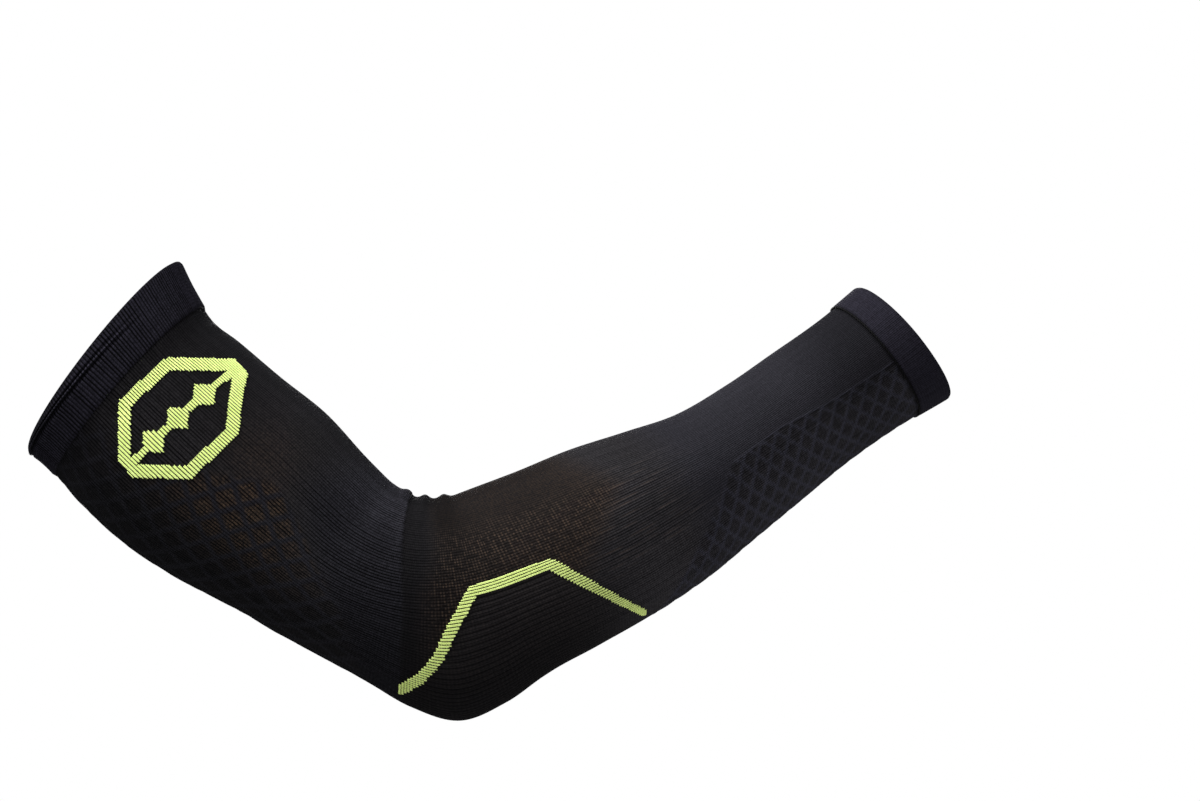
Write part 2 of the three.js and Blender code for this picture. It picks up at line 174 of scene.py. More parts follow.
# Heights above and below the centreline are shares of the row's own height, and half is a share of its
# depth. Egg is how much wider the section is above the centreline than below it.
SECTION_COLUMNS = ("stretch", "at", "size", "above", "below", "half", "egg")
SECTIONS = [
    ("upper", 0.0, "upper_arm", 0.502, 0.527, 0.52, 0.0),
    ("upper", 0.1, "upper_arm", 0.452, 0.521, 0.5, 0.0),
    ("upper", 0.2, "upper_arm", 0.418, 0.528, 0.49, 0.0),
    ("upper", 0.3, "upper_arm", 0.432, 0.538, 0.5, 0.0),
    ("upper", 0.5, "upper_arm", 0.448, 0.532, 0.5, 0.0),
    ("upper", 0.7, "upper_arm", 0.471, 0.488, 0.48, 0.02),
    ("upper", 0.9, "upper_arm", 0.456, 0.417, 0.46, 0.03),
    ("bend", 0.08, "elbow", 0.464, 0.374, 0.5, 0.05),
    ("bend", 0.25, "elbow", 0.46, 0.358, 0.5, 0.08),
    ("bend", 0.42, "elbow", 0.448, 0.39, 0.49, 0.1),
    ("bend", 0.58, "elbow", 0.442, 0.476, 0.48, 0.12),
    ("bend", 0.72, "elbow", 0.45, 0.538, 0.48, 0.12),
    ("bend", 0.86, "elbow", 0.448, 0.495, 0.49, 0.08),
    ("bend", 1.0, "elbow", 0.448, 0.44, 0.49, 0.05),
    ("forearm", 0.12, "forearm", 0.472, 0.468, 0.51, 0.03),
    ("forearm", 0.25, "forearm", 0.445, 0.457, 0.5, 0.02),
    ("forearm", 0.38, "forearm", 0.386, 0.434, 0.47, 0.0),
    ("forearm", 0.5, "wrist", 0.472, 0.568, 0.62, 0.0),
    ("forearm", 0.63, "wrist", 0.455, 0.518, 0.55, 0.0),
    ("forearm", 0.75, "wrist", 0.458, 0.484, 0.51, 0.0),
    ("forearm", 0.88, "wrist", 0.452, 0.494, 0.5, 0.0),
    ("forearm", 1.0, "wrist", 0.465, 0.55, 0.51, 0.0),
]

# Wrinkles in the crook of the elbow: rise and width are shares of the elbow's height.
WRINKLE_COLUMNS = ("at", "rise", "width")
WRINKLES = [(0.34, 0.016, 0.055), (0.56, 0.022, 0.06), (0.78, 0.014, 0.055)]
CROOK_POWER = 6

# Across the upper cuff from its free rim: lift is a share of the fold's depth, edge of the rounding.
CUFF_COLUMNS = ("at", "lift", "edge")
UPPER_CUFF = [
    (0.0, -0.6, 1.0),
    (0.05, -0.6, 0.0),
    (0.27, 0.1, 0.0),
    (0.36, -0.8, 0.0),
    (0.43, 0.75, 0.0),
    (0.5, -0.9, 0.0),
    (0.56, 0.15, 0.0),
    (0.65, 0.0, 0.0),
    (0.94, 0.0, 0.0),
    (1.0, 0.0, 1.0),
]
WRIST_CUFF = [(0.0, 0.0, 1.0), (0.06, 0.0, 0.0), (0.94, 0.0, 0.0), (1.0, 0.0, 1.0)]

# The middle of the elbow stripe: height is a share of the elbow's height, up from the centreline.
STRIPE_COLUMNS = ("stretch", "at", "height")
STRIPE_PATH = [
    ("bend", 0.55, -0.385),
    ("bend", 0.61, -0.328),
    ("bend", 0.67, -0.245),
    ("bend", 0.73, -0.125),
    ("bend", 0.86, 0.03),
    ("forearm", 0.11, 0.002),
    ("forearm", 0.235, -0.38),
]

# Edges of the knit's zones: side runs from 1 at the top of the arm to -1 underneath.
EDGE_COLUMNS = ("side", "stretch", "at")
UPPER_LATTICE_END = [
    (-1.0, "bend", 0.45),
    (-0.8, "bend", 0.38),
    (-0.3, "bend", 0.27),
    (-0.06, "bend", 0.14),
    (0.14, "upper", 0.97),
    (0.3, "upper", 0.82),
    (0.36, "upper", 0.7),
]
RIB_START = [(-1.0, "bend", 0.4), (0.1, "bend", 0.1), (0.5, "upper", 0.88), (1.0, "upper", 0.94)]
CREASE = [(-1.0, "bend", 0.55), (0.0, "bend", 0.52), (0.42, "bend", 0.475), (1.0, "bend", 0.395)]
MESH_END = [(-1.0, "forearm", 0.02), (0.0, "forearm", 0.14), (0.55, "forearm", 0.26), (1.0, "forearm", 0.2)]
FOREARM_LATTICE_START = [(-1.0, "forearm", 0.24), (0.0, "forearm", 0.487), (0.12, "forearm", 0.51)]
TOP_COLUMNS = ("stretch", "at", "side")
UPPER_LATTICE_TOP = [
    ("upper", 0.19, -0.35),
    ("upper", 0.42, -0.2),
    ("upper", 0.62, 0.05),
    ("upper", 0.76, 0.31),
    ("upper", 1.0, 0.36),
]
FOREARM_LATTICE_TOP = [
    ("forearm", 0.5, 0.14),
    ("forearm", 0.64, 0.17),
    ("forearm", 0.76, 0.05),
    ("forearm", 0.9, -0.03),
]

# Two families of lattice lines: lines is how many run round the sleeve, slant their angle to the arm.
LATTICE_COLUMNS = ("zone", "lines", "slant", "girth")
LINE_HALF_WIDTH = {"upper": 0.0014, "forearm": 0.0009}
LINE_SOFT = 0.0005
LATTICES = [
    ("upper", 15, 61, 0.325),
    ("upper", 26, -32, 0.325),
    ("forearm", 22, 48, 0.235),
    ("forearm", 14, -64, 0.235),
]


# Ramps from 0 to 1 over the body. Side is 1 at the top of the arm and under is 1 beneath it; the others
# are distances along the arm, from the elbow or from what they name.
RAMP_COLUMNS = ("ramp", "by", "low", "high")
RAMPS = [
    ("forearm", "along", 0.05, 0.1),
    ("joint", "along", 0.02, 0.06),
    ("after_dashes", "along", 0.1, 0.15),
    ("far", "along", 0.11, 0.14),
    ("off_cuff", "upper_rim", 0.025, 0.055),
    ("off_rim", "upper_rim", 0.04, 0.1),
    ("wrist", "wrist_rim", -0.07, -0.025),
    ("seam", "wrist_seam", -0.0022, -0.0006),
    ("after_crease", "crease", 0.02, 0.07),
    ("dash_low", "side", -0.5, -0.1),
    ("fold_top", "side", 0.0, 0.6),
    ("early_top", "side", 0.1, 0.6),
    ("mesh_side", "side", 0.4, 0.8),
    ("mesh_top", "side", 0.5, 0.8),
    ("rib_top", "side", 0.5, 0.85),
    ("dash_top", "side", 0.6, 0.9),
    ("arm_top", "side", 0.86, 0.98),
    ("fore_under", "under", -0.05, 0.5),
    ("low", "under", 0.15, 0.7),
    ("arm_under", "under", 0.25, 0.8),
    ("elbow_under", "under", 0.5, 0.9),
]

# What each part of the body adds to the tone of its knit, to the gain on that tone, to its warm and cool
# casts and to the gaps between its wales. Some gains paint light or shade into the knit, as noted at each.
MARKS = {
    "tone": {
        "everywhere": 0.84,
        "arm": -0.12,
        "upper_cells": -0.05,
        "low_cells": -0.25,
        "elbow": -0.14,
        "elbow_gaps": -0.36,
        "mesh": -0.3,
        "fore_lines": 0.2,
        "fore_cells": -0.12,
    },
    "gain": {
        "everywhere": 1.0,
        "rib": -0.1,
        # painted light: the ribbed zone is lighter towards the top of the arm
        "rib_top": 0.75,
        "elbow": 0.3,
        # painted shade: the elbow is darker underneath
        "elbow_under": -0.6,
        "elbow_joint": 0.3,
        "dash": 0.3,
        "forearm": 0.2,
        # painted light: the forearm is lighter underneath, as if lit from below
        "fore_under": 1.1,
        "wrist": -0.5,
    },
    "warm": {"arm_cloud": 0.26, "warm_cells": 0.68, "elbow": 0.08, "mesh_top": 0.36},
    "cool": {"upper_lines": 0.6, "rib": 0.6, "fore_lines": 0.9, "fore_cells": 0.2, "far": 0.55},
    # gaps: how deep the painted shade between the wales is
    "gaps": {
        "everywhere": 0.55,
        "rim": 0.3,
        "upper_cells": 0.35,
        "rib": 0.3,
        "elbow": -0.1,
        "mesh": -0.3,
        "fore_cells": 0.3,
        "far_plain": -0.25,
    },
}

# The share of its tone that each of these parts takes away; some are painted shade, as noted at each.
SHADES = {
    "cuff_side": 0.26,
    # painted shade on the top of the upper arm near its rim
    "painted_shade_early_top": 0.32,
    # painted shade: the upper arm is darker underneath
    "arm_under": 0.3,
    # painted shade along the top edge of the upper arm
    "arm_top": 0.25,
    # painted shade in the crook of the elbow, between the crease and the open knit
    "crook": 0.58,
    "mesh_start": 0.5,
    "seam": 0.7,
}
FULL_GAIN = 2.4

# The tone of the knit inside the sleeve, where the cuffs are doubled and where the body is one layer.
CUFF_INSIDE = 0.8
BODY_INSIDE = {"tone": 0.33, "gaps": 0.5}

# Cloth is knitted narrower and shorter than it is worn, by these shares.
KNITTED_WIDTH = 0.85
KNITTED_LENGTH = 0.95

# Lights by their places and sizes; power names a setting of the studio.
LIGHT_COLUMNS = ("name", "place", "size", "power")
LIGHTS = [
    ("key", (-0.9, -0.5, 1.45), (1.4, 1.0), "key_power"),
    ("fill", (0.7, -2.0, 0.2), (1.4, 1.2), "fill_power"),
    ("back", (-0.2, 2.1, 0.3), (1.2, 0.9), "back_power"),
]
FLOOR_RINGS = 8
FLOOR_SPOKES = 48
WHITE = (1.0, 1.0, 1.0, 1.0)


def table(columns, rows):
    """Rows of a table as dictionaries with the columns' names."""
    return [dict(zip(columns, row)) for row in rows]


def smoothstep(value, low, high):
    part = np.clip((value - low) / (high - low), 0.0, 1.0)
    return part * part * (3.0 - 2.0 * part)


def step_at(value, edge, before, after):
    """0 up to a little before an edge and 1 from a little after it."""
    return smoothstep(value, edge - before, edge + after)


class Skin:
    """The sleeve's outer skin by the distance along the arm and the turn round it."""

    STEP = 0.001
    NUDGE = 0.0005
    TURN_NUDGE = 0.01

    def __init__(self, sizes):
        self.sizes = sizes
        self.bend_back = sizes.bend_radius * sizes.upper_slope
        self.bend_fore = sizes.bend_radius * sizes.forearm_slope
        self.rim_start = -self.bend_back - sizes.upper_length
        self.rim_end = self.bend_fore + sizes.forearm_length
        self.stretches = {
            "upper": (self.rim_start, sizes.upper_length),
            "bend": (-self.bend_back, self.bend_back + self.bend_fore),
            "forearm": (self.bend_fore, sizes.forearm_length),
        }
        self.centreline()
        self.read_sections()

    def station(self, stretch, at):
        start, size = self.stretches[stretch]
        return start + at * size

    def frames(self, along):
        """Unit vectors forward, up and away from the outer side."""
        sizes = self.sizes
        rise = np.clip(along / sizes.bend_radius, -sizes.upper_slope, sizes.forearm_slope)
        beyond = np.clip(along - self.bend_fore, 0.0, None)
        rise = rise + sizes.forearm_bow * beyond / sizes.forearm_length
        turn = sizes.forearm_yaw * smoothstep(along, 0.0, self.bend_fore + sizes.yaw_end)
        turn = turn - sizes.upper_yaw * smoothstep(-along, 0.0, self.bend_back + sizes.yaw_end)
        level = np.cos(rise)
        forward = np.stack([level * np.cos(turn), level * np.sin(turn), np.sin(rise)], -1)
        away = np.stack([-np.sin(turn), np.cos(turn), np.zeros_like(turn)], -1)
        return forward, np.cross(forward, away), away

    def centreline(self):
        """Adds the centreline up in small steps, both ways from the origin."""
        half = self.STEP / 2
        fore = (np.arange(math.ceil(self.rim_end / self.STEP) + 3) + 0.5) * self.STEP
        back = -(np.arange(math.ceil(-self.rim_start / self.STEP) + 3) + 0.5) * self.STEP
        ahead = np.cumsum(self.frames(fore)[0] * self.STEP, axis=0)
        behind = np.cumsum(self.frames(back)[0] * -self.STEP, axis=0)
        self.marks = np.concatenate([back[::-1] - half, [0.0], fore + half])
        self.line = np.concatenate([behind[::-1], np.zeros((1, 3)), ahead])

    def centre(self, along):
        return np.stack([np.interp(along, self.marks, self.line[:, i]) for i in range(3)], -1)

    def read_sections(self):
        rows = table(SECTION_COLUMNS, SECTIONS)
        places = [self.station(row["stretch"], row["at"]) for row in rows]
        values = []
        for row in rows:
            height = getattr(self.sizes, row["size"] + "_height")
            depth = getattr(self.sizes, row["size"] + "_depth")
            values.append((row["above"] * height, row["below"] * height, row["half"] * depth, row["egg"]))
        self.places = np.array(places)
        self.values = np.array(values)
        before = np.maximum(np.arange(len(rows)) - 1, 0)
        after = np.minimum(np.arange(len(rows)) + 1, len(rows) - 1)
        rise = self.values[after] - self.values[before]
        self.slopes = rise / (self.places[after] - self.places[before])[:, None]

    def section(self, along):
        """Above, below, half and egg, on a smooth curve through the table's rows."""
        place = np.clip(along, self.places[0], self.places[-1])
        i = np.clip(np.searchsorted(self.places, place) - 1, 0, len(self.places) - 2)
        span = (self.places[i + 1] - self.places[i])[..., None]
        t = (place - self.places[i])[..., None] / span
        start = self.values[i] * (2 * t**3 - 3 * t**2 + 1) + self.slopes[i] * span * (t**3 - 2 * t**2 + t)
        end = self.values[i + 1] * (3 * t**2 - 2 * t**3) + self.slopes[i + 1] * span * (t**3 - t**2)
        return np.moveaxis(start + end, -1, 0)

    def wrinkles(self, along, turn):
        height = self.sizes.elbow_height
        crook = np.maximum(0.0, np.sin(turn)) ** CROOK_POWER
        lift = 0.0
        for row in table(WRINKLE_COLUMNS, WRINKLES):
            distance = (along - self.station("bend", row["at"])) / (row["width"] * height)
            lift = lift + row["rise"] * height * crook * np.exp(-(distance**2))
        return lift

    def place(self, along, turn):
        """Points of the skin. Turn runs from the outer side over the top of the arm."""
        sizes = self.sizes
        forward, up, away = self.frames(along)
        above, below, half, egg = self.section(along)
        sine = np.sin(turn)
        height = np.where(sine > 0, above, below) * sine
        depth = -half * np.cos(turn) * (1 + egg * sine)
        upper = 1 - smoothstep(along, self.rim_start, self.rim_start + 2 * sizes.upper_cuff_width)
        wrist = smoothstep(along, self.rim_end - 2 * sizes.wrist_cuff_width, self.rim_end)
        lean = height * (math.tan(sizes.upper_rim_tilt) * upper + math.tan(sizes.wrist_rim_tilt) * wrist)
        height = height + self.wrinkles(along, turn) * sine
        points = self.centre(along) + up * height[..., None]
        return points + away * depth[..., None] + forward * lean[..., None]

    def basis(self, along, turn):
        """Points of the skin with the unit vectors ahead, aside and outward."""
        along, turn = np.broadcast_arrays(along, turn)
        lower = np.maximum(along - self.NUDGE, self.rim_start)
        upper = np.minimum(along + self.NUDGE, self.rim_end)
        ahead = self.place(upper, turn) - self.place(lower, turn)
        aside = self.place(along, turn + self.TURN_NUDGE) - self.place(along, turn - self.TURN_NUDGE)
        outward = np.cross(ahead, aside)
        unit = [v / np.linalg.norm(v, axis=-1, keepdims=True) for v in (ahead, aside, outward)]
        return self.place(along, turn), *unit

    def lifted(self, along, turn, lift):
        points, _, _, outward = self.basis(along, turn)
        return points + outward * np.broadcast_to(lift, points.shape[:-1])[..., None]

    def edge(self, rows, turn):
        """Distance along the arm of a zone's edge, by the side of the arm."""
        rows = table(EDGE_COLUMNS, rows)
        sides = [row["side"] for row in rows]
        places = [self.station(row["stretch"], row["at"]) for row in rows]
        return np.interp(np.sin(turn), sides, places)

    def top(self, rows, along):
        """Side of the arm that a zone reaches up to, by the distance along it."""
        rows = table(TOP_COLUMNS, rows)
        places = [self.station(row["stretch"], row["at"]) for row in rows]
        return np.interp(along, places, [row["side"] for row in rows])

    def stripe(self):
        """Corners of the stripe's middle line, in the plane of X and Z."""
        corners = []
        for row in table(STRIPE_COLUMNS, STRIPE_PATH):
            along = np.array(self.station(row["stretch"], row["at"]))
            _, up, _ = self.frames(along)
            corners.append((self.centre(along) + up * row["height"] * self.sizes.elbow_height)[[0, 2]])
        return np.array(corners)

    def stripe_distance(self, points):
        """Signed distance from the stripe's middle line: below it is negative."""
        flat = points[..., [0, 2]]
        corners = self.stripe()
        nearest = np.full(flat.shape[:-1], np.inf)
        for a, b in zip(corners[:-1], corners[1:]):
            way = b - a
            t = np.clip(((flat - a) @ way) / (way @ way), 0.0, 1.0)
            nearest = np.minimum(nearest, np.linalg.norm(flat - a - t[..., None] * way, axis=-1))
        under = flat[..., 1] < np.interp(flat[..., 0], corners[:, 0], corners[:, 1])
        return np.where(under, -nearest, nearest)


def wale_profile(wales, turn, period=1.0):
    """Rises and falls from 0 in the gap between two ribs to 1 on top of a rib."""
    return 0.5 - 0.5 * np.cos(turn * wales / period)


class Knit:
    """Relief and marks of the body's zones, for points of a grid."""

    def __init__(self, skin, settings):
        self.skin = skin
        self.settings = settings

    def lattice(self, zone, along, turn):
        """1 on the lines of a zone's lattice and 0 in its cells."""
        lines = np.zeros(np.broadcast(along, turn).shape)
        half = LINE_HALF_WIDTH[zone]
        for row in table(LATTICE_COLUMNS, LATTICES):
            if row["zone"] != zone:
                continue
            pitch = row["girth"] / row["lines"]
            slant = math.radians(row["slant"])
            phase = turn / (2 * math.pi) * row["lines"] - along * math.tan(slant) / pitch
            apart = np.abs(phase - np.round(phase)) * pitch * math.cos(slant)
            lines = np.maximum(lines, 1 - step_at(apart, half, LINE_SOFT, LINE_SOFT))
        return lines

    def ramps(self, along, turn):
        """Every ramp of the table, at the points."""
        skin = self.skin
        side = np.sin(turn)
        by = {
            "along": along,
            "side": side,
            "under": -side,
            "upper_rim": along - skin.rim_start,
            "wrist_rim": along - skin.rim_end,
            "wrist_seam": along - skin.rim_end + skin.sizes.wrist_cuff_width,
            "crease": along - skin.edge(CREASE, turn),
        }
        rows = table(RAMP_COLUMNS, RAMPS)
        return {row["ramp"]: smoothstep(by[row["by"]], row["low"], row["high"]) for row in rows}

    def zones(self, along, turn, ramp):
        """How far each zone of the knit covers the points, from 0 to 1."""
        skin = self.skin
        side = np.sin(turn)
        points = skin.place(along, turn)
        crease = skin.edge(CREASE, turn)
        mesh_end = skin.edge(MESH_END, turn)
        past = step_at(along, crease, 0.0006, 0.0006)
        clear = crease + 0.008 + 0.012 * ramp["fold_top"]
        opening = step_at(along, clear, 0.006, 0.012)
        under = step_at(-skin.stripe_distance(points), 0.0, 0.001, 0.001)
        under = under * step_at(points[..., 0], skin.stripe()[0, 0], 0.002, 0.002)
        upper = 1 - step_at(along, skin.edge(UPPER_LATTICE_END, turn), 0.004, 0.004)
        upper = upper * (1 - step_at(side, skin.top(UPPER_LATTICE_TOP, along), 0.1, 0.06))
        fore = step_at(along, skin.edge(FOREARM_LATTICE_START, turn), 0.003, 0.003)
        fore = fore * (1 - step_at(side, skin.top(FOREARM_LATTICE_TOP, along), 0.02, 0.02))
        rib = step_at(along, skin.edge(RIB_START, turn), 0.02, 0.012) * (1 - past)
        dash = step_at(along, mesh_end, 0.02, 0.01) * (1 - fore) * (1 - under)
        dash = dash * (1 - ramp["after_dashes"]) * ramp["dash_low"] * (1 - ramp["dash_top"])
        elbow = past * under * (1 - smoothstep(along, skin.bend_fore + 0.012, skin.bend_fore + 0.05))
        return {
            "past": past,
            "mesh": opening * (1 - step_at(along, mesh_end, 0.01, 0.012)) * (1 - under),
            "crook": past * (1 - opening) * (1 - elbow),
            "elbow": elbow,
            "rib": rib * (1 - upper),
            "dash": dash,
            "upper": upper,
            "fore": fore,
        }

    def parts(self, along, turn, ramp, zone):
        """How strongly each part of the body shows at the points, mostly from 0 to 1."""
        skin = self.skin
        side = np.sin(turn)
        upper_lines = self.lattice("upper", along, turn)
        fore_lines = self.lattice("forearm", along, turn)
        border = np.abs(side - skin.top(FOREARM_LATTICE_TOP, along)) * skin.sizes.wrist_height / 2
        fore_lines = np.maximum(fore_lines, 1 - smoothstep(border, 0.0004, 0.0012))
        upper_cells = (1 - upper_lines) * zone["upper"]
        rib, elbow, mesh = zone["rib"], zone["elbow"], zone["mesh"]
        plain = 1 - np.clip(rib + elbow + mesh, 0, 1)
        arm = 1 - ramp["forearm"]
        early = 1 - smoothstep(along, skin.station("upper", 0.5), skin.station("upper", 0.85))
        strong = np.exp(-(((along - skin.station("upper", 0.74)) / 0.036) ** 2))
        strong = strong * smoothstep(side, -0.75, -0.2)
        from_cloud = ((along - skin.station("upper", 0.68)) / 0.017) ** 2 + ((side - 0.4) / 0.3) ** 2
        return {
            "everywhere": 1.0,
            "plain": plain,
            "rim": 1 - ramp["off_rim"],
            "cuff_side": 1 - ramp["off_cuff"],
            "arm": 1 - smoothstep(along, skin.station("upper", 0.85), skin.station("bend", 0.3)),
            "painted_shade_early_top": early * ramp["early_top"],
            "arm_under": ramp["arm_under"] * arm,
            "arm_top": ramp["arm_top"] * arm,
            "arm_cloud": np.exp(-from_cloud) * (1 - zone["upper"]),
            "upper_lines": upper_lines * zone["upper"],
            "upper_cells": upper_cells,
            "low_cells": ramp["low"] * upper_cells,
            "warm_cells": upper_cells * strong,
            "rib": rib,
            "rib_top": rib * ramp["rib_top"],
            "crook": zone["crook"],
            "elbow": elbow,
            "elbow_gaps": (1 - wale_profile(self.settings.wales, turn, 2.0)) * elbow,
            "elbow_under": elbow * ramp["elbow_under"],
            "elbow_joint": elbow * ramp["joint"],
            "mesh": mesh,
            "mesh_start": mesh * (1 - ramp["after_crease"] + 0.56 * ramp["mesh_side"]),
            "mesh_top": mesh * ramp["mesh_top"],
            "dash": zone["dash"],
            "forearm": ramp["forearm"],
            "fore_under": ramp["forearm"] * ramp["fore_under"],
            "fore_lines": fore_lines * zone["fore"],
            "fore_cells": (1 - fore_lines) * zone["fore"],
            "far": ramp["far"] * (1 - zone["fore"]),
            "far_plain": ramp["far"] * plain,
            "wrist": ramp["wrist"],
            "seam": ramp["seam"],
        }

    def surface(self, along, turn):
        """Lift off the skin, and the marks that the material reads."""
        settings = self.settings
        ramp = self.ramps(along, turn)
        zone = self.zones(along, turn, ramp)
        part = self.parts(along, turn, ramp, zone)
        wale = wale_profile(settings.wales, turn)
        fold = np.exp(-(((along - self.skin.edge(CREASE, turn)) / 0.004) ** 2)) * (1 - zone["past"])
        relief = settings.jersey_relief * wale * part["plain"]
        relief = relief + settings.rib_relief * (wale - 1) * (part["rib"] + 0.5 * part["dash"])
        relief = relief - settings.elbow_relief * part["elbow_gaps"]
        relief = relief + settings.mesh_relief * (wale - 0.5) * part["mesh"]
        relief = relief + settings.lattice_relief * (0.5 * part["upper_lines"] + part["fore_lines"])
        relief = relief + 0.0006 * fold * ramp["fold_top"]
        total = {}
        for key, amounts in MARKS.items():
            total[key] = sum(amount * part[name] for name, amount in amounts.items())
        tone = total["tone"] * total["gain"] / FULL_GAIN
        for name, amount in SHADES.items():
            tone = tone * (1 - amount * part[name])
        marks = {key: np.clip(total[key], 0.0, 1.0) for key in ("warm", "cool", "gaps")}
        marks["relief"] = relief
        marks["tone"] = np.clip(tone, 0.0, 2.0)
        marks["open"] = part["mesh"] - part["mesh_top"]
        marks["dash"] = part["dash"]
        return marks


def add_object(name, data):
    item = bpy.data.objects.new(name, data)
    bpy.context.scene.collection.objects.link(item)
    return item


def ring_object(name, skin, along, turn, lift, marks, material, wales, course):
    """A closed wall round the arm, whose rows run out over it and back inside it."""
    points = skin.lifted(along, turn, lift)
    rows, columns = lift.shape
    here = np.arange(rows * columns).reshape(rows, columns)
    ahead = np.roll(here, -1, axis=0)
    quads = np.stack([here, ahead, np.roll(ahead, -1, axis=1), np.roll(here, -1, axis=1)], -1).reshape(-1, 4)
    mesh = bpy.data.meshes.new(name)
    mesh.from_pydata(points.reshape(-1, 3).tolist(), [], quads.tolist())
    mesh.polygons.foreach_set("use_smooth", np.ones(len(quads), dtype=bool))
    mesh.set_sharp_from_angle(angle=math.radians(70))
    wale = np.broadcast_to(np.arange(columns) * wales / columns, (rows, columns))
    row_place = np.broadcast_to(along, (rows, columns)) / course
    step = wales / columns
    next_place = np.roll(row_place, -1, axis=0)
    corners = [(wale, row_place), (wale, next_place), (wale + step, next_place), (wale + step, row_place)]
    uv = np.stack([np.stack(pair, -1) for pair in corners], 2).reshape(-1)
    mesh.uv_layers.new(name="knit").uv.foreach_set("vector", uv.astype(np.float32))
    for key, values in marks.items():
        data = np.broadcast_to(values, (rows, columns)).astype(np.float32).reshape(-1)
        mesh.attributes.new(key, "FLOAT", "POINT").data.foreach_set("value", data)
    mesh.materials.append(material)
    return add_object(name, mesh)


def turns(columns):
    """Even turns round the arm, as one row."""
    return (np.arange(columns) * 2 * math.pi / columns)[None, :]


class Term:
    """One output in a node tree; arithmetic on terms adds math nodes."""

    def __init__(self, tree, socket):
        self.tree = tree
        self.socket = socket

    def apply(self, operation, *others):
        node = self.tree.nodes.new("ShaderNodeMath")
        node.operation = operation
        for socket, value in zip(node.inputs, (self, *others)):
            feed(self.tree, socket, value)
        return Term(self.tree, node.outputs[0])

    def __add__(self, other):
        return self.apply("ADD", other)

    def __mul__(self, other):
        return self.apply("MULTIPLY", other)

    def __sub__(self, other):
        return self.apply("SUBTRACT", other)

    def __rsub__(self, other):
        return self.apply("MULTIPLY", -1.0).apply("ADD", other)

    __radd__ = __add__
    __rmul__ = __mul__

    def clamp(self):
        return self.apply("MAXIMUM", 0.0).apply("MINIMUM", 1.0)

    def wave(self, rate):
        """Swings from 1 to 0 and back, rate times for each unit."""
        return (self * (rate * 2 * math.pi)).apply("COSINE") * 0.5 + 0.5


def feed(tree, socket, value):
    """Feeds an input with a constant or with another node's output."""
    if isinstance(value, Term):
        tree.links.new(value.socket, socket)
    else:
        socket.default_value = value


def feed_all(tree, node, values):
    for key, value in values.items():
        feed(tree, node.inputs[key], value)


def add_node(tree, kind, inputs=None, settings=None, output=0):
    """Adds a node, sets its properties, feeds its inputs and returns one of its outputs."""
    node = tree.nodes.new(kind)
    for key, value in (settings or {}).items():
        setattr(node, key, value)
    feed_all(tree, node, inputs or {})
    return Term(tree, node.outputs[output])


def rgba(value):
    return (*value, 1.0)


def mix_colour(tree, factor, first, second):
    return add_node(tree, "ShaderNodeMix", {0: factor, 6: first, 7: second}, {"data_type": "RGBA"}, 2)


def attribute(tree, name):
    return add_node(tree, "ShaderNodeAttribute", settings={"attribute_name": name}, output="Fac")


def object_place(tree):
    return add_node(tree, "ShaderNodeTexCoord", output="Object")


def noise(tree, vector, scale, detail=2.0):
    return add_node(tree, "ShaderNodeTexNoise", {"Vector": vector, "Scale": scale, "Detail": detail})


def speckle(tree, vector, scale, contrast, floor):
    """Noise with its contrast raised until it fills 0 to 1."""
    return (noise(tree, vector, scale) * contrast - floor).clamp()


def knit_map(tree):
    """Place on the knit in wales and courses, and how far each point is from the middle of its wale."""
    place = add_node(tree, "ShaderNodeUVMap", settings={"uv_map": "knit"}, output="UV")
    wale = add_node(tree, "ShaderNodeSeparateXYZ", {"Vector": place}, output="X")
    course = add_node(tree, "ShaderNodeSeparateXYZ", {"Vector": place}, output="Y")
    return wale, course, (wale.apply("FRACT") * 2.0 - 1.0).apply("ABSOLUTE")


def new_material(name):
    material = bpy.data.materials.new(name)
    material.use_nodes = True
    tree = material.node_tree
    tree.nodes.clear()
    shader = tree.nodes.new("ShaderNodeBsdfPrincipled")
    output = tree.nodes.new("ShaderNodeOutputMaterial")
    tree.links.new(shader.outputs[0], output.inputs["Surface"])
    return material, tree, shader


def add_bump(tree, shader, height, strength, distance):
    bump = add_node(tree, "ShaderNodeBump", {"Height": height, "Strength": strength, "Distance": distance})
    feed(tree, shader.inputs["Normal"], bump)


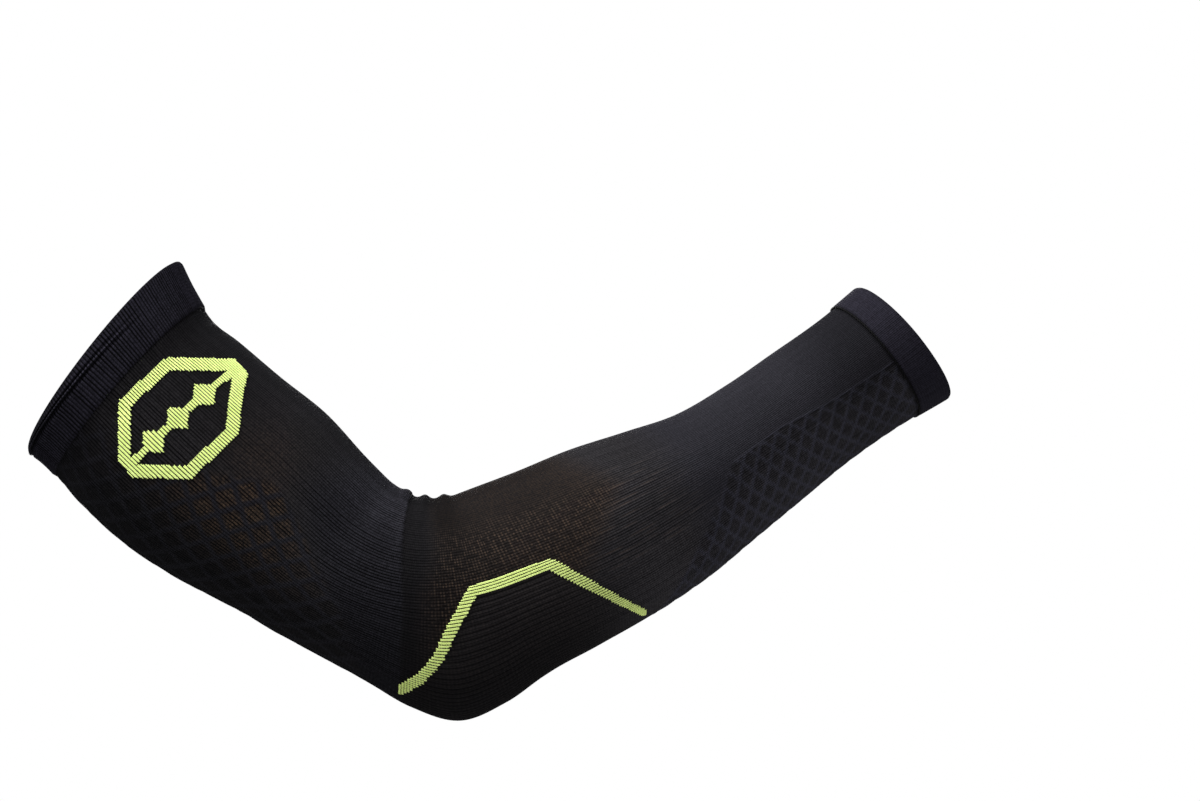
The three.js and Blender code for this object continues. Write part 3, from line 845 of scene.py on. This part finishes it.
def knit_material(name, finish, base, bump_depth, zoned=False):
    """Black knit with single stitches, painted lighter on their legs and with painted shade in the gaps
    between wales; the body's zones come from the mesh's own marks.
    """
    material, tree, shader = new_material(name)
    wale, course, across = knit_map(tree)
    objects = object_place(tree)
    gaps = attribute(tree, "gaps")
    # Painted light and shade: each stitch's legs are lighter on top and the gaps between wales darker.
    leg = 1.0 - (across * 2.0 - 1.0).apply("POWER", 2.0)
    height = leg * ((course + across * 0.55).wave(1.0) * 0.6 + 0.4)
    gap = ((across - 0.3) * 2.0).clamp()
    own = {"noise_dimensions": "1D"}
    own = add_node(tree, "ShaderNodeTexWhiteNoise", {"W": wale.apply("ROUND")}, own, "Value")
    between = (1.0 - gap * (gaps * (own * 0.9 + 0.65))).clamp()
    grain = speckle(tree, objects, 850.0, 3.2, 1.1)
    fleck = (grain - 0.5) * (gaps * 0.75 + 0.1) + 1.05
    shade = attribute(tree, "tone") * between * (height * 0.8 + 0.4) * fleck
    body = rgba(base)
    if zoned:
        opened = attribute(tree, "open")
        dots = (1.0 - across.apply("POWER", 2.0)) * course.wave(0.85)
        dots = dots * speckle(tree, objects, 520.0, 4.5, 1.75)
        streak = {"X": (wale * 0.5).apply("ROUND"), "Y": course * 0.05}
        dash = speckle(tree, add_node(tree, "ShaderNodeCombineXYZ", streak), 1.7, 5.0, 2.2)
        dash = dash * wale.wave(0.5).apply("POWER", 7.0) * attribute(tree, "dash")
        shade = shade * (noise(tree, objects, 28.0, 3.0) * 0.5 + 0.75)
        shade = shade * (1.0 - opened * 0.35) + opened * dots * 0.26 + dash * 0.24
        warmth = attribute(tree, "warm") * (grain * 0.9 + 0.4) + opened * (dots * 0.55 + 0.25) + dash * 0.35
        body = mix_colour(tree, attribute(tree, "cool"), body, rgba(finish.cool))
        body = mix_colour(tree, warmth.clamp(), body, rgba(finish.warm))
    values = {
        "Base Color": mix_colour(tree, shade.clamp(), rgba(finish.deep_black_and_shade), body),
        "Roughness": height * -0.12 + 0.86,
        "Sheen Weight": 0.015,
        "Sheen Roughness": 0.35,
        "Sheen Tint": (0.75, 0.78, 0.9, 1.0),
        "Specular IOR Level": 0.03,
    }
    feed_all(tree, shader, values)
    add_bump(tree, shader, height * 0.6 - gap, 0.6, bump_depth)
    return material


def yarn_material(name, light, shade_colour):
    """Twisted yarn: fibres run round each stitch and small differences in tone lie along it."""
    material, tree, shader = new_material(name)
    objects = object_place(tree)
    fibre = noise(tree, objects, 2600.0)
    tone = fibre * 0.5 + noise(tree, objects, 220.0) * 0.5 + 0.35
    values = {
        "Base Color": mix_colour(tree, tone.clamp(), rgba(shade_colour), rgba(light)),
        "Roughness": tone * -0.1 + 0.78,
        "Specular IOR Level": 0.1,
    }
    feed_all(tree, shader, values)
    add_bump(tree, shader, fibre, 0.35, 0.0001)
    return material


def stitch_tree(name, material):
    """Sets one arched leg of yarn on every point, turned by the point's own directions."""
    tree = bpy.data.node_groups.new(name, "GeometryNodeTree")
    kinds = {"Geometry": "Geometry", "Leg length": "Float", "Yarn radius": "Float", "Arch": "Float"}
    kinds["Seed"] = "Int"
    for label, kind in kinds.items():
        tree.interface.new_socket(label, in_out="INPUT", socket_type="NodeSocket" + kind)
    tree.interface.new_socket("Geometry", in_out="OUTPUT", socket_type="NodeSocketGeometry")
    sockets = tree.nodes.new("NodeGroupInput").outputs
    given = {label: Term(tree, sockets[label]) for label in kinds}
    half = given["Leg length"] * 0.5
    bend = {
        "Resolution": 5,
        "Start": add_node(tree, "ShaderNodeCombineXYZ", {"X": half * -1.0}),
        "Middle": add_node(tree, "ShaderNodeCombineXYZ", {"Z": given["Arch"]}),
        "End": add_node(tree, "ShaderNodeCombineXYZ", {"X": half}),
    }
    curve = add_node(tree, "GeometryNodeCurveQuadraticBezier", bend)
    way = add_node(tree, "GeometryNodeSplineParameter", output="Factor")
    swell = (way * math.pi).apply("SINE").apply("MAXIMUM", 0.0).apply("POWER", 0.5) * 0.6 + 0.4
    curve = add_node(tree, "GeometryNodeSetCurveRadius", {"Curve": curve, "Radius": swell})
    circle = {"Resolution": 6, "Radius": given["Yarn radius"]}
    circle = add_node(tree, "GeometryNodeCurvePrimitiveCircle", circle)
    tube = {"Curve": curve, "Profile Curve": circle, "Fill Caps": True}
    tube = add_node(tree, "GeometryNodeCurveToMesh", tube)
    tube = add_node(tree, "GeometryNodeSetShadeSmooth", {"Geometry": tube})

    def mark(key, kind):
        named = {"data_type": kind}
        return add_node(tree, "GeometryNodeInputNamedAttribute", {"Name": key}, named, "Attribute")

    ways = {"Primary Axis": mark("ahead", "FLOAT_VECTOR"), "Secondary Axis": mark("outward", "FLOAT_VECTOR")}
    axes = {"primary_axis": "X", "secondary_axis": "Z"}
    turn = add_node(tree, "FunctionNodeAxesToRotation", ways, axes)
    differs = {2: 0.93, 3: 1.07, "Seed": given["Seed"]}
    size = add_node(tree, "FunctionNodeRandomValue", differs, {"data_type": "FLOAT"}, 1)
    size = size * mark("spread", "FLOAT")
    placed = {"Points": given["Geometry"], "Instance": tube, "Rotation": turn, "Scale": size}
    placed = add_node(tree, "GeometryNodeInstanceOnPoints", placed)
    real = add_node(tree, "GeometryNodeRealizeInstances", {"Geometry": placed})
    done = add_node(tree, "GeometryNodeSetMaterial", {"Geometry": real, "Material": material})
    feed(tree, tree.nodes.new("NodeGroupOutput").inputs[0], done)
    return tree


def stitch_object(name, points, ahead, outward, spread, tree, values):
    """Runs the stitch tree on bare points and keeps the result as a plain mesh."""
    mesh = bpy.data.meshes.new(name + "_points")
    mesh.from_pydata(points.tolist(), [], [])
    for key, vectors in (("ahead", ahead), ("outward", outward)):
        data = mesh.attributes.new(key, "FLOAT_VECTOR", "POINT").data
        data.foreach_set("vector", vectors.astype(np.float32).ravel())
    mesh.attributes.new("spread", "FLOAT", "POINT").data.foreach_set("value", spread.astype(np.float32))
    carrier = add_object(name + "_points", mesh)
    modifier = carrier.modifiers.new("stitches", "NODES")
    modifier.node_group = tree
    for item in tree.interface.items_tree:
        if item.in_out == "INPUT" and item.name in values:
            modifier[item.identifier] = values[item.name]
    bpy.context.view_layer.update()
    graph = bpy.context.evaluated_depsgraph_get()
    real = bpy.data.meshes.new_from_object(carrier.evaluated_get(graph))
    real.name = name
    bpy.data.objects.remove(carrier)
    return add_object(name, real)


def adopt(item, node):
    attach(item, BODY)
    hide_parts(node)


def groups(context):
    scene = context.scene
    return scene.sleeve_sizes, scene.sleeve_knit, scene.sleeve_finish, scene.sleeve_studio


def girth(skin, along):
    """Distance round the sleeve at one place along it."""
    turn = np.linspace(0, 2 * math.pi, 181)
    ring = skin.place(np.array([[along]]), turn[None, :])[0]
    return float(np.linalg.norm(np.diff(ring, axis=0), axis=1).sum())


def declare_sheet(item, skin, start, end):
    """Works out the flat size of a band of the tube, which is knitted narrower and shorter than it is worn,
    and keeps nothing of it.
    """
    width = girth(skin, (start + end) / 2) * KNITTED_WIDTH
    (end - start) * KNITTED_LENGTH


class SLEEVE_OT_body(Operator):
    """Knits the tube from the upper cuff to the wrist cuff, with its ribs, mesh and lattices"""

    bl_idname = "sleeve.body"
    bl_label = "Knit the body"

    def execute(self, context):
        sizes, knit, finish, _ = groups(context)
        skin = Skin(sizes)
        material = knit_material("body_knit", finish, finish.black, 0.00022, True)
        turn = turns(knit.wales * knit.samples)
        start = skin.rim_start + sizes.upper_cuff_width
        end = skin.rim_end - sizes.wrist_cuff_width
        cuts = [start, -skin.bend_back, skin.bend_fore + 0.012, skin.station("forearm", 0.48), end]
        names = ("upper_arm_knit", "elbow_knit", "forearm_knit", "lower_arm_knit")
        for name, low, high in zip(names, cuts[:-1], cuts[1:]):
            rows = max(2, round((high - low) / knit.course)) + 1
            outer = np.linspace(low, high, rows)[:, None]
            inner = np.linspace(high, low, 8)[:, None]
            marks = Knit(skin, knit).surface(outer, turn)
            inside = {"relief": -sizes.wall, **BODY_INSIDE}
            for key, values in marks.items():
                marks[key] = np.concatenate([values, np.full((8, turn.size), inside.get(key, 0.0))])
            lift = marks.pop("relief")
            along = np.concatenate([outer, inner])
            item = ring_object(name, skin, along, turn, lift, marks, material, knit.wales, knit.course)
            adopt(item, "sleeve_body")
            declare_sheet(item, skin, low, high)
        return {"FINISHED"}


def cuff_rows(profile, count_rows):
    """Evenly spaced places across a cuff with the lift and edge of its profile."""
    rows = table(CUFF_COLUMNS, profile)
    at = np.linspace(0.0, 1.0, count_rows)
    known = [row["at"] for row in rows]
    lift = np.interp(at, known, [row["lift"] for row in rows])
    edge = np.interp(at, known, [row["edge"] for row in rows])
    return at[:, None], lift[:, None], edge[:, None]


def fold_share(turn):
    """Share of the cuff's width that lies before its fold, by the side of the arm."""
    return 0.3 + 0.2 * np.sin(turn)


def fold_strength(turn):
    """The fold fades towards the top of the arm."""
    return smoothstep(-np.sin(turn), -0.75, 0.35)


def knit_cuff(name, node, skin, turn, span, outer, lift, marks, inner_rows, material, wales, course):
    """Adds plain rows inside the hollow to a cuff's outer rows and takes the cuff into the frame."""
    inner = np.broadcast_to(np.linspace(span[1], span[0], inner_rows)[:, None], (inner_rows, turn.size))
    along = np.concatenate([np.broadcast_to(outer, lift.shape), inner])
    lifts = np.concatenate([lift, np.full(inner.shape, -skin.sizes.wall)])
    marks["tone"] = np.concatenate([marks["tone"], np.full(inner.shape, CUFF_INSIDE)])
    item = ring_object(name, skin, along, turn, lifts, marks, material, wales, course)
    adopt(item, node)
    declare_sheet(item, skin, *span)


class SLEEVE_OT_upper_cuff(Operator):
    """Knits the doubled, ribbed cuff at the upper arm, with the fold that runs round it"""

    bl_idname = "sleeve.upper_cuff"
    bl_label = "Knit the upper cuff"

    def execute(self, context):
        sizes, knit, finish, _ = groups(context)
        skin = Skin(sizes)
        material = knit_material("upper_cuff_knit", finish, finish.cuff, 0.0002)
        turn = turns(knit.cuff_ribs * 4)
        at, lift, edge = cuff_rows(UPPER_CUFF, 49)
        fold = fold_share(turn)
        strength = fold_strength(turn)
        place = np.where(at < 0.5, at * 2 * fold, fold + (at - 0.5) * 2 * (1 - fold))
        outer = skin.rim_start + place * sizes.upper_cuff_width
        ribs = wale_profile(knit.cuff_ribs, turn) - 1
        out = sizes.cuff_wall - sizes.wall + lift * sizes.cuff_fold_depth * strength
        out = out - edge * sizes.rim_round + knit.cuff_relief * ribs * (1 - smoothstep(edge, 0.0, 1.0))
        # Painted shade: the fold's grooves and the first rows at the rim are darkened, and the shadow
        # darkens the cuff's lower side towards its rim. The cuff is also a little darker towards the body.
        groove_shade = np.clip(-lift, 0, 1) * strength
        shadow = smoothstep(-np.sin(turn), 0.0, 0.85) * (1 - smoothstep(at, 0.3, 0.55))
        tone = (1 - 0.95 * np.maximum(groove_shade, 0.5 * (at < 0.05))) * (1 - 0.6 * shadow)
        marks = {"tone": tone * (1 - 0.2 * smoothstep(at, 0.55, 0.7)), "gaps": 0.95}
        span = (skin.rim_start, skin.rim_start + sizes.upper_cuff_width)
        gauge = (material, knit.cuff_ribs, knit.course)
        knit_cuff("upper_cuff_welt", "upper_cuff", skin, turn, span, outer, out, marks, 6, *gauge)
        return {"FINISHED"}


class SLEEVE_OT_wrist_cuff(Operator):
    """Knits the doubled, smooth cuff at the wrist and the linked seam that joins it to the body"""

    bl_idname = "sleeve.wrist_cuff"
    bl_label = "Knit the wrist cuff"

    def execute(self, context):
        sizes, knit, finish, _ = groups(context)
        skin = Skin(sizes)
        material = knit_material("wrist_cuff_knit", finish, finish.cuff, 0.00012)
        turn = turns(knit.wales * knit.samples)
        at, _, edge = cuff_rows(WRIST_CUFF, 21)
        outer = skin.rim_end - (1 - at) * sizes.wrist_cuff_width
        wale = wale_profile(knit.wales, turn)
        out = sizes.cuff_wall - sizes.wall - edge * sizes.rim_round + 0.00004 * (wale - 1)
        tone = np.broadcast_to(0.95 - 0.6 * (1 - smoothstep(at, 0.0, 0.09)), out.shape)
        marks = {"tone": tone, "gaps": 0.5}
        start = skin.rim_end - sizes.wrist_cuff_width
        gauge = (material, knit.wales, knit.course)
        span = (start, skin.rim_end)
        knit_cuff("wrist_cuff_band", "wrist_cuff", skin, turn, span, outer, out, marks, 5, *gauge)

        links = turns(knit.wales // 2).ravel()
        points, ahead, aside, outward = skin.basis(np.full(links.shape, start - 0.0002), links)
        tree = stitch_tree("seam_links", yarn_material("seam_thread", finish.deep_black_and_shade, finish.deep_black_and_shade))
        leg_length = girth(skin, start) / links.size * 1.05
        values = {"Leg length": leg_length, "Yarn radius": 0.00042, "Arch": 0.0005, "Seed": knit.seed}
        way, place = aside + 0.25 * ahead, points + outward * 0.0004
        seam = stitch_object("wrist_seam", place, way, outward, np.ones(links.size), tree, values)
        adopt(seam, "wrist_cuff")
        return {"FINISHED"}


def inside_emblem(skin, points):
    """Whether points lie under the emblem's outline, seen from the outer side."""
    sizes = skin.sizes
    centre = np.array(skin.rim_start + sizes.emblem_from_rim)
    forward, up, _ = skin.frames(centre)
    lean = -sizes.upper_rim_tilt / 2
    across = forward * math.cos(lean) - up * math.sin(lean)
    along = up * math.cos(lean) + forward * math.sin(lean)
    offset = points - (skin.centre(centre) + up * sizes.emblem_rise)
    x, y = np.abs(offset @ across), offset @ along
    high = np.abs(y)
    half_width, half_length, stroke = sizes.emblem_width / 2, sizes.emblem_length / 2, sizes.emblem_stroke
    slant = half_width + half_length - sizes.emblem_corner
    outside = (x <= half_width) & (high <= half_length) & (x + high <= slant)
    hollow = (x <= half_width - stroke) & (high <= half_length - stroke)
    shape = outside & ~(hollow & (x + high <= slant - math.sqrt(2) * stroke))
    shape |= (x <= sizes.emblem_spine / 2) & (high <= half_length - stroke)
    pitch = (sizes.emblem_length - 4 * stroke) / sizes.emblem_diamonds
    for i in range(sizes.emblem_diamonds):
        middle = (i - (sizes.emblem_diamonds - 1) / 2) * pitch
        shape |= x + np.abs(y - middle) <= pitch * sizes.diamond_share / 2
    return shape


# Lime stitches lie on the outer side, a little above the body, and are full-sized on wales this wide.
OUTER_SIDE = 0.02
STITCH_LIFT = 0.00045
FULL_WALE = 0.00145


def yarn_cells(skin, knit, low, high, chosen):
    """The legs of every stitch, one to a wale and course, whose middle lies where chosen is true."""
    wale = (np.arange(knit.wales) + 0.5) / knit.wales * 2 * math.pi
    wale = wale[np.cos(wale) > OUTER_SIDE]
    course = np.arange(low, high, knit.yarn_course)
    every_along, every_turn = (grid.ravel() for grid in np.meshgrid(course, wale, indexing="ij"))
    step = 2 * math.pi / knit.wales
    points, ways, normals, spread = [], [], [], []
    for sign in (-1, 1):
        keep = chosen(skin.place(every_along, every_turn + sign * step * knit.leg_offset))
        along, turn = every_along[keep], every_turn[keep]
        place, ahead, aside, outward = skin.basis(along, turn + sign * step * knit.leg_offset)
        width = np.linalg.norm(skin.place(along, turn + step) - skin.place(along, turn), axis=-1)
        points.append(place + outward * STITCH_LIFT)
        ways.append(ahead * math.cos(knit.stitch_slant) - aside * sign * math.sin(knit.stitch_slant))
        normals.append(outward)
        spread.append(np.clip(width / FULL_WALE, 0.7, 1.2))
    return (np.concatenate(part) for part in (points, ways, normals, spread))


class SLEEVE_OT_lime(Operator):
    """Knits the elbow stripe and the emblem in lime yarn, stitch by stitch"""

    bl_idname = "sleeve.lime"
    bl_label = "Knit the lime yarn"

    def execute(self, context):
        sizes, knit, finish, _ = groups(context)
        skin = Skin(sizes)
        tree = stitch_tree("lime_stitches", yarn_material("lime_yarn", finish.lime, finish.lime_shade))
        corners = skin.stripe()

        def on_stripe(points):
            taper = 1 - 0.35 * smoothstep(points[..., 0], corners[-2, 0], corners[-1, 0])
            near = np.abs(skin.stripe_distance(points)) <= sizes.stripe_width / 2 * taper
            ends = (points[..., 0] > corners[0, 0] - 0.002) & (points[..., 0] < corners[-1, 0] + 0.002)
            return near & ends

        plans = {
            "stripe_stitches": ("elbow_stripe", -0.04, 0.13, on_stripe),
            "emblem_stitches": (
                "emblem",
                skin.rim_start + sizes.upper_cuff_width,
                skin.rim_start + sizes.emblem_from_rim + sizes.emblem_width,
                lambda points: inside_emblem(skin, points),
            ),
        }
        for name, (node, low, high, chosen) in plans.items():
            points, ways, normals, spread = yarn_cells(skin, knit, low, high, chosen)
            values = {
                "Leg length": knit.yarn_course * knit.stitch_overlap,
                "Yarn radius": knit.yarn_radius,
                "Arch": knit.yarn_radius * 0.8,
                "Seed": knit.seed,
            }
            item = stitch_object(name, points, ways, normals, spread, tree, values)
            adopt(item, node)
        return {"FINISHED"}


def add_floor(studio):
    """A pale disc that fades away towards its edge."""
    around = np.arange(FLOOR_SPOKES) * 2 * math.pi / FLOOR_SPOKES
    rings = [studio.floor_radius * (i + 1) / FLOOR_RINGS for i in range(FLOOR_RINGS)]
    points = [(r * math.cos(a), r * math.sin(a), 0.0) for r in rings for a in around]
    faces = [tuple(range(FLOOR_SPOKES))]
    for i in range(FLOOR_RINGS - 1):
        for j in range(FLOOR_SPOKES):
            here, there = i * FLOOR_SPOKES + j, i * FLOOR_SPOKES + (j + 1) % FLOOR_SPOKES
            faces.append((here, here + FLOOR_SPOKES, there + FLOOR_SPOKES, there))
    mesh = bpy.data.meshes.new("floor")
    mesh.from_pydata(points, [], faces)
    material, tree, shader = new_material("pale_floor")
    objects = object_place(tree)
    far = add_node(tree, "ShaderNodeVectorMath", {0: objects}, {"operation": "LENGTH"}, "Value")
    pale = noise(tree, objects, 3.0).clamp()
    values = {
        "Base Color": mix_colour(tree, pale, (0.9, 0.9, 0.9, 1), (0.93, 0.93, 0.93, 1)),
        "Alpha": (far * (-3.0 / studio.floor_radius) + 3.0).clamp(),
        "Roughness": 0.9,
    }
    feed_all(tree, shader, values)
    mesh.materials.append(material)
    item = add_object("floor", mesh)
    item.location = (studio.target_x, 0.0, -studio.floor_drop)


def add_surroundings(scene, studio):
    """White to look at, and dim as a light."""
    world = bpy.data.worlds.new("studio")
    world.use_nodes = True
    tree = world.node_tree
    feed_all(tree, tree.nodes["Background"], {0: WHITE, 1: studio.ambient})
    layers = {
        0: add_node(tree, "ShaderNodeLightPath", output="Is Camera Ray"),
        1: Term(tree, tree.nodes["Background"].outputs[0]),
        2: add_node(tree, "ShaderNodeBackground", {"Color": WHITE, "Strength": 1.0}),
    }
    both = add_node(tree, "ShaderNodeMixShader", layers)
    feed(tree, tree.nodes["World Output"].inputs["Surface"], both)
    scene.world = world


def add_light(name, place, target, size, strength):
    data = bpy.data.lights.new(name, "AREA")
    data.shape = "RECTANGLE"
    data.size, data.size_y = size
    data.energy = strength
    item = add_object(name, data)
    item.location = place
    direction = np.array(target) - np.array(place)
    yaw = math.atan2(direction[0], -direction[1])
    pitch = math.atan2(math.hypot(direction[0], direction[1]), -direction[2])
    item.rotation_euler = (pitch, 0.0, math.pi + yaw)


def add_camera(scene, studio):
    data = bpy.data.cameras.new("camera")
    data.sensor_width = 36.0
    data.sensor_fit = "HORIZONTAL"
    data.lens = data.sensor_width * studio.distance / studio.frame_width
    data.clip_start, data.clip_end = 0.05, 20.0
    camera = add_object("camera", data)
    camera.location = (studio.target_x, -studio.distance, studio.target_z)
    camera.rotation_euler = (math.pi / 2, 0.0, 0.0)
    scene.camera = camera


class SLEEVE_OT_stage(Operator):
    """Makes the pale floor, the white surroundings, the soft lights and the camera"""

    bl_idname = "sleeve.stage"
    bl_label = "Set the stage"

    def execute(self, context):
        _, _, _, studio = groups(context)
        context.scene.view_settings.view_transform = "Standard"
        add_floor(studio)
        add_surroundings(context.scene, studio)
        target = (studio.target_x, 0.0, studio.target_z)
        for row in table(LIGHT_COLUMNS, LIGHTS):
            add_light(row["name"], row["place"], target, row["size"], getattr(studio, row["power"]))
        add_camera(context.scene, studio)
        return {"FINISHED"}


class SLEEVE_PT_panel(Panel):
    """Sizes, knit, colours and studio of the sleeve"""

    bl_label = "Arm compression sleeve"
    bl_idname = "SLEEVE_PT_panel"
    bl_space_type = "VIEW_3D"
    bl_region_type = "UI"
    bl_category = "Sleeve"

    def draw(self, context):
        for group in groups(context):
            box = self.layout.box()
            for key in group.__annotations__:
                box.prop(group, key)
        for operator in STEPS:
            self.layout.operator(operator.bl_idname)


GROUPS = {
    "sleeve_sizes": SleeveSizes,
    "sleeve_knit": KnitSettings,
    "sleeve_finish": FinishSettings,
    "sleeve_studio": StudioSettings,
}
STEPS = (SLEEVE_OT_upper_cuff, SLEEVE_OT_body, SLEEVE_OT_wrist_cuff, SLEEVE_OT_lime, SLEEVE_OT_stage)


def register():
    for item in (*GROUPS.values(), *STEPS, SLEEVE_PT_panel):
        bpy.utils.register_class(item)
    for name, group in GROUPS.items():
        setattr(bpy.types.Scene, name, PointerProperty(type=group))


def unregister():
    for name in GROUPS:
        delattr(bpy.types.Scene, name)
    for item in reversed((*GROUPS.values(), *STEPS, SLEEVE_PT_panel)):
        bpy.utils.unregister_class(item)


def main():
    register()
    bpy.ops.sleeve.stage()
    bpy.ops.sleeve.upper_cuff()
    bpy.ops.sleeve.body()
    bpy.ops.sleeve.wrist_cuff()
    bpy.ops.sleeve.lime()


if __name__ == "__main__":
    main()
